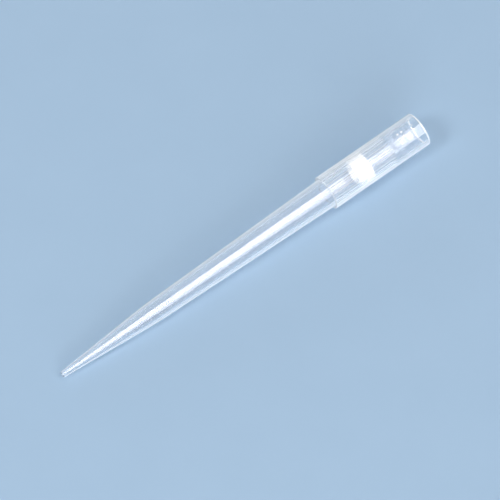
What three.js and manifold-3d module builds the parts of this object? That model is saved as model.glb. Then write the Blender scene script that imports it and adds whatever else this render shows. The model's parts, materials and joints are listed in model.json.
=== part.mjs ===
// A pipette tip for volumes up to about 1 ml, with a filter plug in its bore, lying on a flat
// surface as it comes to rest. Millimetres, +Z up. The tip points along -X, and the origin is on
// the surface, under the middle of the part.

import * as THREE from "three";
import { mergeVertices } from "three/addons/utils/BufferGeometryUtils.js";
import Module from "manifold-3d";

const wasm = await Module();
wasm.setup();

// Lengths along the axis.
const TIP_LENGTH = 102; // orifice to rim
const STEEP_LENGTH = 25; // orifice to the knee, where the taper turns shallow
const SOCKET_DEPTH = 6.7; // rim to the foot of the nozzle socket
const SOCKET_FLOOR_LENGTH = 2; // cone that leads from the socket into the bore
const RING_MARGIN = 0.2; // top of the bore to the lower edge of the plain ring
const RIB_LENGTH = 18; // ribs, down from the ring to the shoulder
const LEAD_IN_DEPTH = 2.7; // wider mouth of the socket
const LEAD_IN_CONE = 0.3; // cone at the foot of the mouth

// Radii of the hollow.
const ORIFICE_BORE = 0.4;
const KNEE_BORE = 1.8;
const TOP_BORE = 2.86; // where the bore meets the socket's floor
const SOCKET_FOOT_RADIUS = 3.6;
const SOCKET_TAPER = 0.08; // how much wider the socket is at its mouth
const LEAD_IN_STEP = 0.22; // how much wider the lead-in is than the socket

// Walls, outside the hollow.
const ORIFICE_WALL = 0.34;
const KNEE_WALL = 0.77;
const SHOULDER_WALL = 1.03;
const RIM_WALL = 0.38;

// Low, flat ribs round the collar.
const RIB_COUNT = 24;
const RIB_WIDTH = 0.55;
const RIB_HEIGHT = 0.06;
const RIB_SETBACK = 0.03; // ribs stop this far inside the ring's face

// Filter plug.
const FILTER_LENGTH = 4.1;
const FILTER_DEPTH = 6.5; // top of the bore to the top of the plug
const FILTER_CLEARANCE = 0.25; // plug to bore wall

// Mould mark: a square of raised dots on the ring.
const MARK_DEPTH = 5.6; // rim to the middle of the mark
const MARK_SPACING = 1.1;
const MARK_ANGLE = 6.5; // degrees from the top, towards -Y
const MARK_DOT_RADIUS = 0.25;
const MARK_DOT_HEIGHT = 0.08;

// Fineness of round shapes.
const SEGMENTS = 96;
const DOT_SEGMENTS = 16;
const FUSE_DEPTH = 0.3; // how far shapes run into each other where they are joined

// Places along the axis, from the orifice.
const socketFoot = TIP_LENGTH - SOCKET_DEPTH;
const boreTop = socketFoot - SOCKET_FLOOR_LENGTH;
const ringFoot = boreTop - RING_MARGIN;
const shoulder = ringFoot - RIB_LENGTH;
const leadInFoot = TIP_LENGTH - LEAD_IN_DEPTH;
const filterTop = boreTop - FILTER_DEPTH;
const filterFoot = filterTop - FILTER_LENGTH;

// The shallow part of the bore is one straight cone from the knee to the socket's floor.
const boreSlope = (TOP_BORE - KNEE_BORE) / (boreTop - STEEP_LENGTH);
const boreAt = (x) => KNEE_BORE + boreSlope * (x - STEEP_LENGTH);

// Radii.
const orificeRadius = ORIFICE_BORE + ORIFICE_WALL;
const kneeRadius = KNEE_BORE + KNEE_WALL;
const shoulderRadius = boreAt(shoulder) + SHOULDER_WALL;
const socketTopRadius = SOCKET_FOOT_RADIUS + SOCKET_TAPER;
const leadInRadius = socketTopRadius + LEAD_IN_STEP;
const collarRadius = leadInRadius + RIM_WALL;
const ribRadius = collarRadius - RIB_SETBACK;
const grooveRadius = ribRadius - RIB_HEIGHT;
const ribPitch = (2 * Math.PI) / RIB_COUNT;

// A closed geometry as a solid that can be joined to others.
function toSolid(geometry) {
  const bare = geometry.clone();
  bare.deleteAttribute("normal");
  bare.deleteAttribute("uv");
  const merged = mergeVertices(bare);
  const vertProperties = new Float32Array(merged.attributes.position.array);
  const triVerts = new Uint32Array(merged.index.array);
  return new wasm.Manifold(new wasm.Mesh({ numProp: 3, vertProperties, triVerts }));
}

function toGeometry(solid) {
  const mesh = solid.getMesh();
  const geometry = new THREE.BufferGeometry();
  geometry.setAttribute("position", new THREE.BufferAttribute(mesh.vertProperties, 3));
  geometry.setIndex(new THREE.BufferAttribute(mesh.triVerts, 1));
  geometry.computeVertexNormals();
  return geometry;
}

// Turns an outline of [place along the axis, radius] points round the X axis. The outline closes
// on itself, and runs up the outside and down the inside.
function turned(outline) {
  const profile = outline.map(([x, radius]) => new THREE.Vector2(radius, x));
  return new THREE.LatheGeometry(profile, SEGMENTS).rotateZ(-Math.PI / 2);
}

// The moulding without its ribs: two cones, the collar, the ring and the hollow that runs through.
function tubeGeometry() {
  const outside = [
    [0, orificeRadius],
    [STEEP_LENGTH, kneeRadius],
    [shoulder, shoulderRadius],
    [shoulder, grooveRadius],
    [ringFoot, grooveRadius],
    [ringFoot, collarRadius],
    [TIP_LENGTH, collarRadius],
  ];
  const inside = [
    [TIP_LENGTH, leadInRadius],
    [leadInFoot, leadInRadius],
    [leadInFoot - LEAD_IN_CONE, socketTopRadius],
    [socketFoot, SOCKET_FOOT_RADIUS],
    [boreTop, TOP_BORE],
    [STEEP_LENGTH, KNEE_BORE],
    [0, ORIFICE_BORE],
  ];
  return turned([...outside, ...inside, outside[0]]);
}

// One rib, a low bar that stands on the collar and runs into the ring. The first stands half a
// pitch from the bottom, so that the collar rests on two ribs.
function ribGeometry(index) {
  const foot = grooveRadius - FUSE_DEPTH;
  const height = ribRadius - foot;
  const length = RIB_LENGTH + FUSE_DEPTH;
  const angle = (index + 0.5) * ribPitch;
  return new THREE.BoxGeometry(length, RIB_WIDTH, height)
    .translate(shoulder + length / 2, 0, -(foot + height / 2))
    .rotateX(angle);
}

// One raised dot of the mould mark, at a row and a column of -1 or 1.
function dotGeometry(row, column) {
  const height = MARK_DOT_HEIGHT + FUSE_DEPTH;
  const turn = (column * MARK_SPACING) / 2 / collarRadius;
  return new THREE.CylinderGeometry(MARK_DOT_RADIUS, MARK_DOT_RADIUS, height, DOT_SEGMENTS)
    .rotateX(Math.PI / 2)
    .translate(
      TIP_LENGTH - MARK_DEPTH + (row * MARK_SPACING) / 2,
      0,
      collarRadius + MARK_DOT_HEIGHT - height / 2
    )
    .rotateX(THREE.MathUtils.degToRad(MARK_ANGLE) + turn);
}

function bodyGeometry() {
  let solid = toSolid(tubeGeometry());
  for (let index = 0; index < RIB_COUNT; index++) {
    solid = solid.add(toSolid(ribGeometry(index)));
  }
  for (const row of [-1, 1]) {
    for (const column of [-1, 1]) {
      solid = solid.add(toSolid(dotGeometry(row, column)));
    }
  }
  return toGeometry(solid);
}

// The plug follows the bore's cone, clear of its wall.
function filterGeometry() {
  return turned([
    [filterFoot, 0],
    [filterFoot, boreAt(filterFoot) - FILTER_CLEARANCE],
    [filterTop, boreAt(filterTop) - FILTER_CLEARANCE],
    [filterTop, 0],
  ]);
}

const clearPlastic = new THREE.MeshStandardMaterial({
  color: 0xe3ebf2,
  roughness: 0.15,
  metalness: 0,
  transparent: true,
  opacity: 0.4,
});

const porousPlastic = new THREE.MeshStandardMaterial({
  color: 0xf7f8f9,
  roughness: 0.9,
  metalness: 0,
});

const body = new THREE.Mesh(bodyGeometry(), clearPlastic);
body.name = "tip_body";

const filter = new THREE.Mesh(filterGeometry(), porousPlastic);
filter.name = "filter_plug";

const tip = new THREE.Group();
tip.add(body, filter);

// At rest the lower ends of the two lowest ribs touch the surface, and so does the knee, or the
// orifice's edge where that would reach lower.
const ribDrop = ribRadius * Math.cos(ribPitch / 2) + (RIB_WIDTH / 2) * Math.sin(ribPitch / 2);
const riseToOrifice = (ribDrop - orificeRadius) / shoulder;
const riseToKnee = (ribDrop - kneeRadius) / (shoulder - STEEP_LENGTH);
tip.rotation.y = -Math.atan(Math.min(riseToOrifice, riseToKnee));

const box = new THREE.Box3().setFromObject(tip, true);
const middle = box.getCenter(new THREE.Vector3());
tip.position.set(-middle.x, -middle.y, -box.min.z);

export default tip;
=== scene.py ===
"""A clear pipette tip with a white filter plug, lying on a pale blue surface.

Lengths are in millimetres along the tip, from its orifice, until place() carries them into the
frame, which is in metres.
"""

import json
import math

import bpy
import numpy as np
from mathutils import Matrix, Vector


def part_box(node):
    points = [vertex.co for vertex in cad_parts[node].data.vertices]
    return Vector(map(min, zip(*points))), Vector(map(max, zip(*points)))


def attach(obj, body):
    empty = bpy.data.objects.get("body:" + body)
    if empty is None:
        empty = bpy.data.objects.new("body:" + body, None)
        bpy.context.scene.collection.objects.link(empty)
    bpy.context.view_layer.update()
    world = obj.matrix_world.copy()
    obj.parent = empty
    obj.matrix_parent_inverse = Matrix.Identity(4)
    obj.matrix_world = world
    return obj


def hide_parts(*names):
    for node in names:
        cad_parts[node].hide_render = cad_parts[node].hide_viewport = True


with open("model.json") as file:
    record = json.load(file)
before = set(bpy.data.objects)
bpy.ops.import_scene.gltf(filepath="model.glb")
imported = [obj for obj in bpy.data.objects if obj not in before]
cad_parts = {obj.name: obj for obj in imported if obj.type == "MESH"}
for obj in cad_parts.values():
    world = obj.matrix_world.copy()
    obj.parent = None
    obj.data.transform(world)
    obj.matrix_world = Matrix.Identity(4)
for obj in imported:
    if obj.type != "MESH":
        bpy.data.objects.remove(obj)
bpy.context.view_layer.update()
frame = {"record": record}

MM = 0.001

# Places along the tip, in millimetres from its orifice.
KNEE = 25.0
SHOULDER = 75.1
FILTER_FOOT = 82.7
FILTER_TOP = 86.8
RING_FOOT = 93.1
BORE_TOP = 93.3
SOCKET_FOOT = 95.3
MARK_MIDDLE = 96.4
LEAD_IN_CONE = 99.0
LEAD_IN_FOOT = 99.3
RIM = 102.0

# Radii, in millimetres.
ORIFICE_BORE = 0.4
KNEE_BORE = 1.8
TOP_BORE = 2.86
SOCKET_BORE = 3.6
SOCKET_TOP_BORE = 3.68
LEAD_IN_BORE = 3.9
ORIFICE_RADIUS = 0.74
KNEE_RADIUS = 2.57
ROOT_RADIUS = 3.603
RIB_RADIUS = 4.25
RING_RADIUS = 4.28

# The plug is pressed in, so its mean side lies this far inside the bore's wall.
PLUG_SQUEEZE = 0.012
PLUG_EDGE = 0.12  # rounding of its ends
GRAIN_HEIGHT = 0.02
FINE_GRAIN = 0.16
COARSE_GRAIN = 0.34

# Ribs and mark.
RIB_COUNT = 24
RIB_PITCH = 2 * math.pi / RIB_COUNT
RIB_DEPTH = 0.05
RIB_FADE = 1.2  # the length over which the ribs run out at the ring
SHOULDER_REACH = 0.2  # how far before the shoulder its rounded edge may start
RIB_SHARPNESS = 1.3  # from 0.5, a plain wave, upwards to a square one
RIB_COLUMNS = 16  # columns of the grid to each rib
DOT_SPACING = 1.1
DOT_RADIUS = 0.32
DOT_HEIGHT = 0.08
DOT_EDGE = 0.12  # the width over which a dot rises
MARK_ANGLE = math.radians(186.5)

# How the tip lies: its axis, the middle of its orifice, and the two directions across it.
AXIS = np.array(next(m for m in frame["record"]["mounts"] if m["name"] == "rim_face")["axis"])
ACROSS = np.array([0.0, 1.0, 0.0])
UP = np.cross(AXIS, ACROSS)
body_low, body_high = (np.array(corner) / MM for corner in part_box("tip_body"))
ring_radius = (body_high[1] - body_low[1]) / 2
rim_middle = np.array([
    body_high[0] - ring_radius * AXIS[2],
    (body_high[1] + body_low[1]) / 2,
    body_high[2] - ring_radius * AXIS[0],
])
ORIFICE_MIDDLE = rim_middle - RIM * AXIS


def place(along, radius, angle):
    """Points in metres: the middle of the orifice, plus `along` on the axis, plus `radius` in the direction
    that stands at `angle` from straight down, towards +Y."""
    along, radius, angle = np.broadcast_arrays(along, radius, angle)
    out = (
        ORIFICE_MIDDLE
        + along[..., None] * AXIS
        + (radius * np.sin(angle))[..., None] * ACROSS
        - (radius * np.cos(angle))[..., None] * UP
    )
    return out * MM


def smooth_step(t):
    """3t^2 - 2t^3, with t held between 0 and 1."""
    t = np.clip(t, 0, 1)
    return t * t * (3 - 2 * t)


def lattice_noise(points, cell, seed):
    """Smooth noise between -1 and 1: seeded random values on the corners of a cubic lattice, blended inside
    each cube by the smooth step of the place along each side."""
    place_in = points / cell
    base = np.floor(place_in).astype(int)
    low = base.reshape(-1, 3).min(axis=0)
    base -= low
    size = base.reshape(-1, 3).max(axis=0) + 2
    values = np.random.default_rng(seed).uniform(-1, 1, size)
    t = smooth_step(place_in - low - base)
    out = 0
    for i in (0, 1):
        for j in (0, 1):
            for k in (0, 1):
                share = (
                    (t[..., 0] if i else 1 - t[..., 0])
                    * (t[..., 1] if j else 1 - t[..., 1])
                    * (t[..., 2] if k else 1 - t[..., 2])
                )
                out = out + share * values[base[..., 0] + i, base[..., 1] + j, base[..., 2] + k]
    return out


def rounded_loop(corners, steps=7):
    """Rows of a closed section with rounded corners, as (place along, radius) pairs.

    Each corner is (along, radius, reach). With t from 0 to 1 it becomes the curve
    (1-t)^2 in + 2t(1-t) corner + t^2 out, where `in` and `out` stand `reach` away on the edges
    before and after. One guard row stands half a reach further out on each side, so that the long
    edges keep their own slope."""
    corners = np.array(corners, float)
    spot, reach = corners[:, None, :2], corners[:, None, 2:]
    before = np.roll(corners, 1, axis=0)[:, None, :2] - spot
    after = np.roll(corners, -1, axis=0)[:, None, :2] - spot
    before = before / np.linalg.norm(before, axis=-1, keepdims=True) * reach
    after = after / np.linalg.norm(after, axis=-1, keepdims=True) * reach
    t = np.linspace(0, 1, steps)[None, :, None]
    curve = spot + (1 - t) ** 2 * before + t**2 * after
    rows = np.concatenate([spot + 1.5 * before, curve, spot + 1.5 * after], axis=1)
    return rows.reshape(-1, 2)


def closed_grid(points, close_rows=True, poles=None):
    """Vertices and quads of a grid of points that closes on itself across its columns (second axis). Its
    rows close too, or each end row closes on a pole point by a fan."""
    rows, columns = points.shape[:2]
    index = np.arange(rows * columns).reshape(rows, columns)
    lower = index if close_rows else index[:-1]
    upper = np.roll(index, -1, axis=0)[: len(lower)]
    quads = np.stack([lower, np.roll(lower, -1, axis=1), np.roll(upper, -1, axis=1), upper], axis=-1)
    vertices, faces = points.reshape(-1, 3), quads.reshape(-1, 4).tolist()
    if poles is not None:
        vertices = np.vstack([vertices, poles])
        first, last = rows * columns, rows * columns + 1
        near, far = index[0], index[-1]
        faces += np.stack([near, np.full(columns, first), np.roll(near, -1)], axis=-1).tolist()
        faces += np.stack([np.roll(far, -1), np.full(columns, last), far], axis=-1).tolist()
    return vertices, faces


def new_piece(name, vertices, faces, material):
    mesh = bpy.data.meshes.new(name)
    mesh.from_pydata(np.asarray(vertices, float).tolist(), [], faces)
    mesh.polygons.foreach_set("use_smooth", np.ones(len(mesh.polygons), bool))
    mesh.materials.append(material)
    mesh.update()
    piece = bpy.data.objects.new(name, mesh)
    bpy.context.scene.collection.objects.link(piece)
    return piece


def add_field(piece, name, values):
    """A number on each point of the mesh, for its material to read."""
    piece.data.attributes.new(name, "FLOAT", "POINT").data.foreach_set("value", values.ravel())


# ---------------------------------------------------------------- materials


class Nodes:
    """The nodes of a material or a world, made one at a time and joined by name."""

    def __init__(self, owner):
        owner.use_nodes = True
        self.tree = owner.node_tree

    def add(self, kind, inputs=None, **settings):
        node = self.tree.nodes.new(kind)
        for key, value in settings.items():
            setattr(node, key, value)
        for key, value in (inputs or {}).items():
            if isinstance(value, bpy.types.NodeSocket):
                self.tree.links.new(value, node.inputs[key])
            else:
                node.inputs[key].default_value = value
        return node

    def math(self, operation, first, second):
        return self.add("ShaderNodeMath", {0: first, 1: second}, operation=operation).outputs[0]

    def ranged(self, value, low, high, to_low, to_high):
        return self.add("ShaderNodeMapRange", {
            "Value": value,
            "From Min": low,
            "From Max": high,
            "To Min": to_low,
            "To Max": to_high,
        }).outputs["Result"]


class Finish(Nodes):
    """A material with a Principled shader."""

    def __init__(self, name):
        self.material = bpy.data.materials.new(name)
        super().__init__(self.material)
        self.shader = self.tree.nodes["Principled BSDF"]
        self.coordinates = self.add("ShaderNodeTexCoord").outputs["Object"]

    def set(self, socket, value):
        self.shader.inputs[socket].default_value = value

    def join(self, value, socket):
        self.tree.links.new(value, self.shader.inputs[socket])

    def along_tip(self, scale):
        """Object coordinates, turned about Y so that X runs along the tip, with X scaled."""
        return self.add("ShaderNodeMapping", {
            "Vector": self.coordinates,
            "Rotation": (0.0, TILT, 0.0),
            "Scale": (scale, 1.0, 1.0),
        }, vector_type="POINT").outputs["Vector"]

    def noise(self, vector, scale, detail=2.0, roughness=0.5):
        return self.add("ShaderNodeTexNoise", {
            "Vector": vector,
            "Scale": scale,
            "Detail": detail,
            "Roughness": roughness,
        }).outputs["Fac"]

    def two_tones(self, value, low, high, low_colour, high_colour):
        """One colour up to the value `low`, another from `high`, and an even blend between."""
        tone = self.add("ShaderNodeValToRGB", {"Fac": value})
        first, last = tone.color_ramp.elements
        first.position, first.color = low, (*low_colour, 1.0)
        last.position, last.color = high, (*high_colour, 1.0)
        return tone.outputs["Color"]

    def field(self, name):
        """A number that the mesh carries on its points."""
        return self.add("ShaderNodeAttribute", attribute_name=name).outputs["Fac"]

    def bump(self, height, strength, distance):
        return self.add("ShaderNodeBump", {
            "Height": height,
            "Strength": strength,
            "Distance": distance,
        }).outputs["Normal"]


TILT = math.atan2(AXIS[2], AXIS[0])


def station(along):
    """Where a place along the tip lies on its turned X axis, in metres."""
    return float(ORIFICE_MIDDLE @ AXIS + along) * MM


def moulded_polypropylene():
    """Clear, faintly milky plastic, almost glossy, with fine drag lines left along the tip by the mould.

    Its haze is a share of white skin in the glass-like plastic. It drifts a little everywhere and
    thickens where the outside is seen aslant. The same white skin paints highlights: a bright band
    round the rim's edge, bright dots, and bright lines on the flanks of the ribs."""
    finish = Finish("moulded_polypropylene")
    finish.set("Base Color", (0.985, 0.99, 1.0, 1.0))
    finish.set("IOR", 1.49)
    drift = finish.noise(finish.along_tip(0.06), 900.0, 3.0, 0.55)
    clear = finish.ranged(drift, 0.3, 0.7, 0.925, 0.955)
    aslant = finish.add("ShaderNodeLayerWeight", {"Blend": 0.5}).outputs["Facing"]
    place_along = finish.add("ShaderNodeSeparateXYZ", {"Vector": finish.along_tip(1.0)}).outputs["X"]

    past_shoulder = finish.ranged(place_along, station(SHOULDER - 0.1), station(SHOULDER + 0.1), 0.0, 1.0)
    on_collar = finish.ranged(
        place_along, station(RING_FOOT - 0.3), station(RING_FOOT + 0.3), past_shoulder, 0.0)
    milky_ribs = finish.ranged(aslant, 0.18, 0.3, 0.0, 0.2)
    collar = finish.math("MULTIPLY", milky_ribs, on_collar)
    haze_and_painted_highlights = finish.ranged(aslant, 0.2, 0.72, 0.0, 0.77)
    haze_and_painted_highlights = finish.math("MULTIPLY", finish.math("MAXIMUM", haze_and_painted_highlights, collar), finish.field("skin"))
    # Painted highlights: white on a band round the rim's edge, on the dots and on the rib flanks stands in
    # for the light that these catch.
    for painted_highlight in (
        finish.ranged(place_along, station(RIM - 0.5), station(RIM - 0.2), 0.0, 0.75),
        finish.ranged(finish.field("mark"), 0.0, 1.0, 0.0, 0.9),
        finish.ranged(finish.field("flank"), 0.0, 1.0, 0.0, finish.ranged(aslant, 0.05, 0.22, 0.1, 0.95)),
    ):
        haze_and_painted_highlights = finish.math("MAXIMUM", haze_and_painted_highlights, painted_highlight)
    from_inside = finish.add("ShaderNodeNewGeometry").outputs["Backfacing"]
    see_through = finish.math("MAXIMUM", finish.math("SUBTRACT", clear, haze_and_painted_highlights), from_inside)
    finish.join(see_through, "Transmission Weight")

    polish = finish.noise(finish.coordinates, 1400.0)
    finish.join(finish.ranged(polish, 0.3, 0.7, 0.01, 0.03), "Roughness")
    drag_lines = finish.noise(finish.along_tip(0.02), 3200.0)
    finish.join(finish.bump(drag_lines, 0.03, 0.02 * MM), "Normal")
    return finish.material


def sintered_polyethylene():
    """White porous plastic that light sinks into: fused beads a few tenths of a millimetre across, with
    darker pores between them."""
    finish = Finish("sintered_polyethylene")
    from_bead = finish.add("ShaderNodeTexVoronoi", {
        "Vector": finish.coordinates,
        "Scale": 4200.0,
    }, feature="F1").outputs["Distance"]
    tone = finish.two_tones(from_bead, 0.35, 0.85, (0.97, 0.97, 0.975), (0.86, 0.87, 0.88))
    finish.join(tone, "Base Color")
    patches = finish.noise(finish.coordinates, 2500.0, 3.0)
    finish.join(finish.ranged(patches, 0.3, 0.7, 0.7, 0.9), "Roughness")
    finish.join(finish.bump(finish.ranged(from_bead, 0.0, 1.0, 1.0, 0.0), 0.4, 0.06 * MM), "Normal")
    finish.set("Subsurface Weight", 1.0)
    finish.set("Subsurface Radius", (1.0, 1.0, 1.0))
    finish.set("Subsurface Scale", 0.8 * MM)
    return finish.material


def blue_paper():
    """Smooth matt paper in pale blue, with a barely visible mottle."""
    finish = Finish("blue_paper")
    mottle = finish.noise(finish.coordinates, 60.0, 4.0)
    tone = finish.two_tones(mottle, 0.3, 0.7, (0.364, 0.499, 0.652), (0.372, 0.508, 0.662))
    finish.join(tone, "Base Color")
    finish.set("Roughness", 0.9)
    finish.set("Specular IOR Level", 0.2)
    return finish.material


# ---------------------------------------------------------------- the tip


def tip_body(material):
    """The moulding as one closed grid. Its rows run once round the wall's section, up the outside and down
    the inside, and its columns run round the axis.

    Between the shoulder and the ring a row sinks by depth * smooth_step(0.5 + 1.3 cos(ribs * angle)),
    eased out at the ring, so flat ribs stand between flat grooves. Dots push the ring's face out by a
    smooth step of the distance from their middle. The points carry three fields: how far each is on a
    dot (mark), on the flank of a rib (flank) and on the outside (skin).

    A corner of the section is (place along, radius, how far its rounding reaches)."""
    outside = [
        (0.0, ORIFICE_RADIUS, 0.08),
        (KNEE, KNEE_RADIUS, 3.5),
        (SHOULDER, ROOT_RADIUS, 0.08),
        (SHOULDER, RIB_RADIUS, 0.08),
        (RING_FOOT - RIB_FADE, RIB_RADIUS, 0.3),
        (RING_FOOT, RING_RADIUS, 0.3),
        (MARK_MIDDLE - DOT_SPACING / 2, RING_RADIUS, 0.22),
        (MARK_MIDDLE + DOT_SPACING / 2, RING_RADIUS, 0.22),
        (RIM, RING_RADIUS, 0.1),
    ]
    inside = [
        (RIM, LEAD_IN_BORE, 0.1),
        (LEAD_IN_FOOT, LEAD_IN_BORE, 0.12),
        (LEAD_IN_CONE, SOCKET_TOP_BORE, 0.12),
        (SOCKET_FOOT, SOCKET_BORE, 0.7),
        (BORE_TOP, TOP_BORE, 0.7),
        (KNEE, KNEE_BORE, 2.5),
        (0.0, ORIFICE_BORE, 0.05),
    ]
    section = rounded_loop(outside + inside)
    outside_rows = len(section) * len(outside) // len(outside + inside)
    along, radius = section[:, 0, None], section[:, 1, None]
    angle = (np.arange(RIB_COUNT * RIB_COLUMNS) * RIB_PITCH / RIB_COLUMNS)[None, :]

    around = RIB_SHARPNESS * np.cos(RIB_COUNT * angle)
    groove = smooth_step(0.5 + around)
    slope = smooth_step(2 - 4 * np.abs(0.25 + around))
    collar_height = (radius - ROOT_RADIUS) / (RIB_RADIUS - ROOT_RADIUS)
    above_shoulder = along > SHOULDER - SHOULDER_REACH
    ribbed = smooth_step(1.2 * collar_height) * smooth_step((RING_FOOT - along) / RIB_FADE) * above_shoulder
    radius = radius - RIB_DEPTH * groove * ribbed

    on_ring = (radius > RING_RADIUS - 0.01) * (along < RIM - 1)
    mark = np.zeros(radius.shape)
    for row in (-1, 1):
        for column in (-1, 1):
            dot_along = MARK_MIDDLE + row * DOT_SPACING / 2
            dot_angle = MARK_ANGLE + column * DOT_SPACING / 2 / RING_RADIUS
            away = np.hypot(along - dot_along, (angle - dot_angle) * RING_RADIUS)
            mark = mark + on_ring * smooth_step((DOT_RADIUS - away) / DOT_EDGE)
    radius = radius + DOT_HEIGHT * mark

    vertices, faces = closed_grid(place(along, radius, angle))
    piece = new_piece("tip_moulding", vertices, faces, material)
    skin = np.repeat(np.arange(len(section)) < outside_rows, angle.size)
    # The mark and flank fields tell the plastic where to paint highlights on the dots and on the rib flanks.
    add_field(piece, "mark", mark)
    add_field(piece, "flank", slope * ribbed)
    add_field(piece, "skin", skin.astype(float))
    return piece


def filter_plug(material):
    """The porous plug: a section from pole to pole carried round the axis, with its edges rounded, and grain
    that moves each point by a lattice noise along the way out from the plug's middle."""
    foot_radius, top_radius = np.interp(
        [FILTER_FOOT, FILTER_TOP], [KNEE, BORE_TOP], [KNEE_BORE, TOP_BORE]) + PLUG_SQUEEZE
    edge = PLUG_EDGE
    turn = np.linspace(0, math.pi / 2, 7)
    flat = np.linspace(0.03, 1, 22)[:-1]
    side = np.linspace(0, 1, 34)[1:-1]
    along = np.concatenate([
        np.full(len(flat), FILTER_FOOT),
        FILTER_FOOT + edge * (1 - np.cos(turn)),
        FILTER_FOOT + edge + side * (FILTER_TOP - FILTER_FOOT - 2 * edge),
        FILTER_TOP - edge * (1 - np.sin(turn)),
        np.full(len(flat), FILTER_TOP),
    ])
    radius = np.concatenate([
        flat * (foot_radius - edge),
        foot_radius - edge * (1 - np.sin(turn)),
        foot_radius + side * (top_radius - foot_radius),
        top_radius - edge * (1 - np.cos(turn)),
        flat[::-1] * (top_radius - edge),
    ])
    angle = np.linspace(0, 2 * math.pi, 160, endpoint=False)
    along, radius, angle = np.broadcast_arrays(along[:, None], radius[:, None], angle[None, :])
    middle = (FILTER_FOOT + FILTER_TOP) / 2
    out = np.stack([along - middle, radius * np.sin(angle), -radius * np.cos(angle)], axis=-1)
    grain = GRAIN_HEIGHT * (lattice_noise(out, FINE_GRAIN, 11) + lattice_noise(out, COARSE_GRAIN, 12))
    along = along + grain * np.sign(along - middle) * (np.abs(along - middle) > middle - FILTER_FOOT - edge)
    radius = radius + grain * (radius > foot_radius - edge)
    poles = place(np.array([FILTER_FOOT, FILTER_TOP]), np.zeros(2), np.zeros(2))
    vertices, faces = closed_grid(place(along, radius, angle), close_rows=False, poles=poles)
    return new_piece("filter_grain", vertices, faces, material)


body = tip_body(moulded_polypropylene())
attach(body, "root")
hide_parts("tip_body")

plug = filter_plug(sintered_polyethylene())
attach(plug, "root")
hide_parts("filter_plug")


# ---------------------------------------------------------------- floor, light and camera


def paper_disc(radius, rings, spokes):
    """A flat disc on the surface: rings of points at radius * (ring / rings)^2 round a middle point."""
    ring = (np.arange(1, rings + 1) / rings)[:, None] ** 2 * radius
    angle = np.linspace(0, 2 * math.pi, spokes, endpoint=False)[None, :]
    points = np.stack([ring * np.cos(angle), ring * np.sin(angle), np.zeros((rings, spokes))], axis=-1)
    index = np.arange(rings * spokes).reshape(rings, spokes)
    next_spoke = np.roll(index, -1, axis=1)
    quads = np.stack([index[:-1], index[1:], next_spoke[1:], next_spoke[:-1]], axis=-1)
    fan = np.stack([np.full(spokes, rings * spokes), index[0], next_spoke[0]], axis=-1)
    faces = quads.reshape(-1, 4).tolist() + fan.tolist()
    return np.vstack([points.reshape(-1, 3), [[0, 0, 0]]]), faces


floor = new_piece("paper", *paper_disc(4.0, 24, 96), blue_paper())


def point_at(back, aim, distance, upright):
    """A placing that stands `distance` from `aim` in the direction `back` and looks at it, `upright` up."""
    side = upright.cross(back).normalized()
    top = back.cross(side)
    turn = Matrix((side, top, back)).transposed().to_4x4()
    return Matrix.Translation(aim + back * distance) @ turn


def direction(azimuth, elevation):
    """The unit vector towards an azimuth, 0 in front and 90 on the right, and an elevation."""
    a, e = math.radians(azimuth), math.radians(elevation)
    return Vector((math.sin(a) * math.cos(e), -math.cos(a) * math.cos(e), math.sin(e)))


def softbox(name, back, distance, across, along, radiance, colour, unseen_by=()):
    """A rectangular lamp, `across` the tip by `along` it, of the given radiance. Its power in watts is
    radiance * pi * area. The kinds of ray in `unseen_by` pass it by."""
    lamp = bpy.data.lights.new(name, "AREA")
    lamp.shape = "RECTANGLE"
    lamp.size = across
    lamp.size_y = along
    lamp.energy = radiance * math.pi * across * along
    lamp.color = colour
    holder = bpy.data.objects.new(name, lamp)
    holder.matrix_world = point_at(back, Vector((0, 0, 0)), distance, Vector(AXIS))
    holder.visible_camera = False
    for kind in unseen_by:
        setattr(holder, "visible_" + kind, False)
    bpy.context.scene.collection.objects.link(holder)


CAMERA_AZIMUTH = -37.35
CAMERA_ELEVATION = 61.1
CAMERA_DISTANCE = 1.5
CAMERA_LENS = 474.8
CAMERA_AIM = Vector((0.00129, -0.00114, 0.004))

to_camera = direction(CAMERA_AZIMUTH, CAMERA_ELEVATION)
camera = bpy.data.objects.new("camera", bpy.data.cameras.new("camera"))
camera.data.lens = CAMERA_LENS
camera.data.sensor_width = 36.0
camera.data.clip_start = 0.1
camera.data.clip_end = 20.0
camera.matrix_world = point_at(to_camera, CAMERA_AIM, CAMERA_DISTANCE, Vector((0, 0, 1)))
bpy.context.scene.collection.objects.link(camera)
bpy.context.scene.camera = camera

# The card stands where the camera sees it mirrored along the top of the tip, and gives the tip its long
# highlight. The main softbox stands just in front of it and lights the paper.
along_tip = Vector(AXIS)
mirrored = (to_camera - 2 * to_camera.dot(along_tip) * along_tip).normalized()
over_tip = Matrix.Rotation(math.radians(8), 3, along_tip) @ mirrored
softbox("long_card", over_tip, 2.05, 2.6, 2.4, 5.1, (1.0, 0.94, 0.93), unseen_by=["diffuse"])
softbox("main_softbox", over_tip, 2.0, 2.6, 0.9, 3.2, (1.0, 1.0, 1.0), unseen_by=["glossy", "transmission"])

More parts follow.
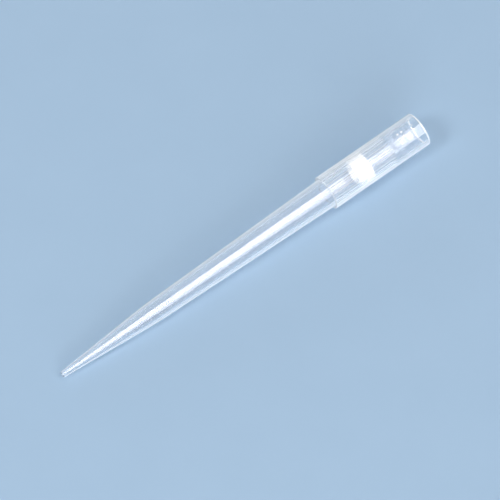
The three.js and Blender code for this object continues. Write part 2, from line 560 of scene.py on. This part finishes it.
# Low lamps in front and behind brighten the haze along both flanks. The left key throws the shadow past
# the rim, and the back fill softens the shadow along the tip.
softbox("front_key", direction(-24, 12), 1.2, 0.8, 0.7, 5.6, (0.93, 0.97, 1.0), unseen_by=["glossy"])
for name, back, across, along, radiance, colour in (
    ("left_key", direction(-91, 50), 0.5, 0.5, 9.6, (0.97, 0.99, 1.0)),
    ("low_back", direction(175, 9), 0.5, 1.4, 2.3, (0.84, 0.93, 1.0)),
    ("back_fill", direction(165, 38), 1.6, 1.6, 0.4, (1.0, 1.0, 1.0)),
):
    softbox(name, back, 1.5, across, along, radiance, colour, unseen_by=["glossy", "transmission"])


def studio():
    """The room. Paper fills the view beyond the floor. A mirror or a clear body sees walls that brighten
    from front to back, and a bright one on the left. All else is lit by a weak even fill."""
    world = bpy.data.worlds.new("studio")
    nodes = Nodes(world)
    way = nodes.add("ShaderNodeTexCoord").outputs["Generated"]
    way = nodes.add("ShaderNodeSeparateXYZ", {"Vector": way}).outputs
    rise = nodes.ranged(way["Y"], -0.5, 0.1, 0.0, 1.0)
    walls = nodes.add("ShaderNodeMix", {"Factor": rise}, data_type="RGBA")
    front, back = (socket for socket in walls.inputs if socket.type == "RGBA")
    front.default_value = (0.36, 0.44, 0.54, 1.0)
    back.default_value = (0.84, 0.90, 0.98, 1.0)
    walls_colour = next(socket for socket in walls.outputs if socket.type == "RGBA")
    left_glow = nodes.ranged(way["X"], -0.7, -0.2, 3.0, 1.0)

    def glow(colour, strength=1.0):
        return nodes.add("ShaderNodeBackground", {"Color": colour, "Strength": strength}).outputs[0]

    def either(share, first, second):
        return nodes.add("ShaderNodeMixShader", {0: share, 1: first, 2: second}).outputs[0]

    rays = nodes.add("ShaderNodeLightPath").outputs
    shiny = nodes.math("MAXIMUM", rays["Is Glossy Ray"], rays["Is Transmission Ray"])
    lit = either(shiny, glow((0.90, 0.96, 1.0, 1.0), 0.2), glow(walls_colour, left_glow))
    seen = either(rays["Is Camera Ray"], lit, glow((0.376, 0.521, 0.687, 1.0)))
    nodes.tree.links.new(seen, nodes.tree.nodes["World Output"].inputs["Surface"])
    return world


bpy.context.scene.world = studio()
bpy.context.scene.view_settings.view_transform = "Standard"

bpy.context.view_layer.update()
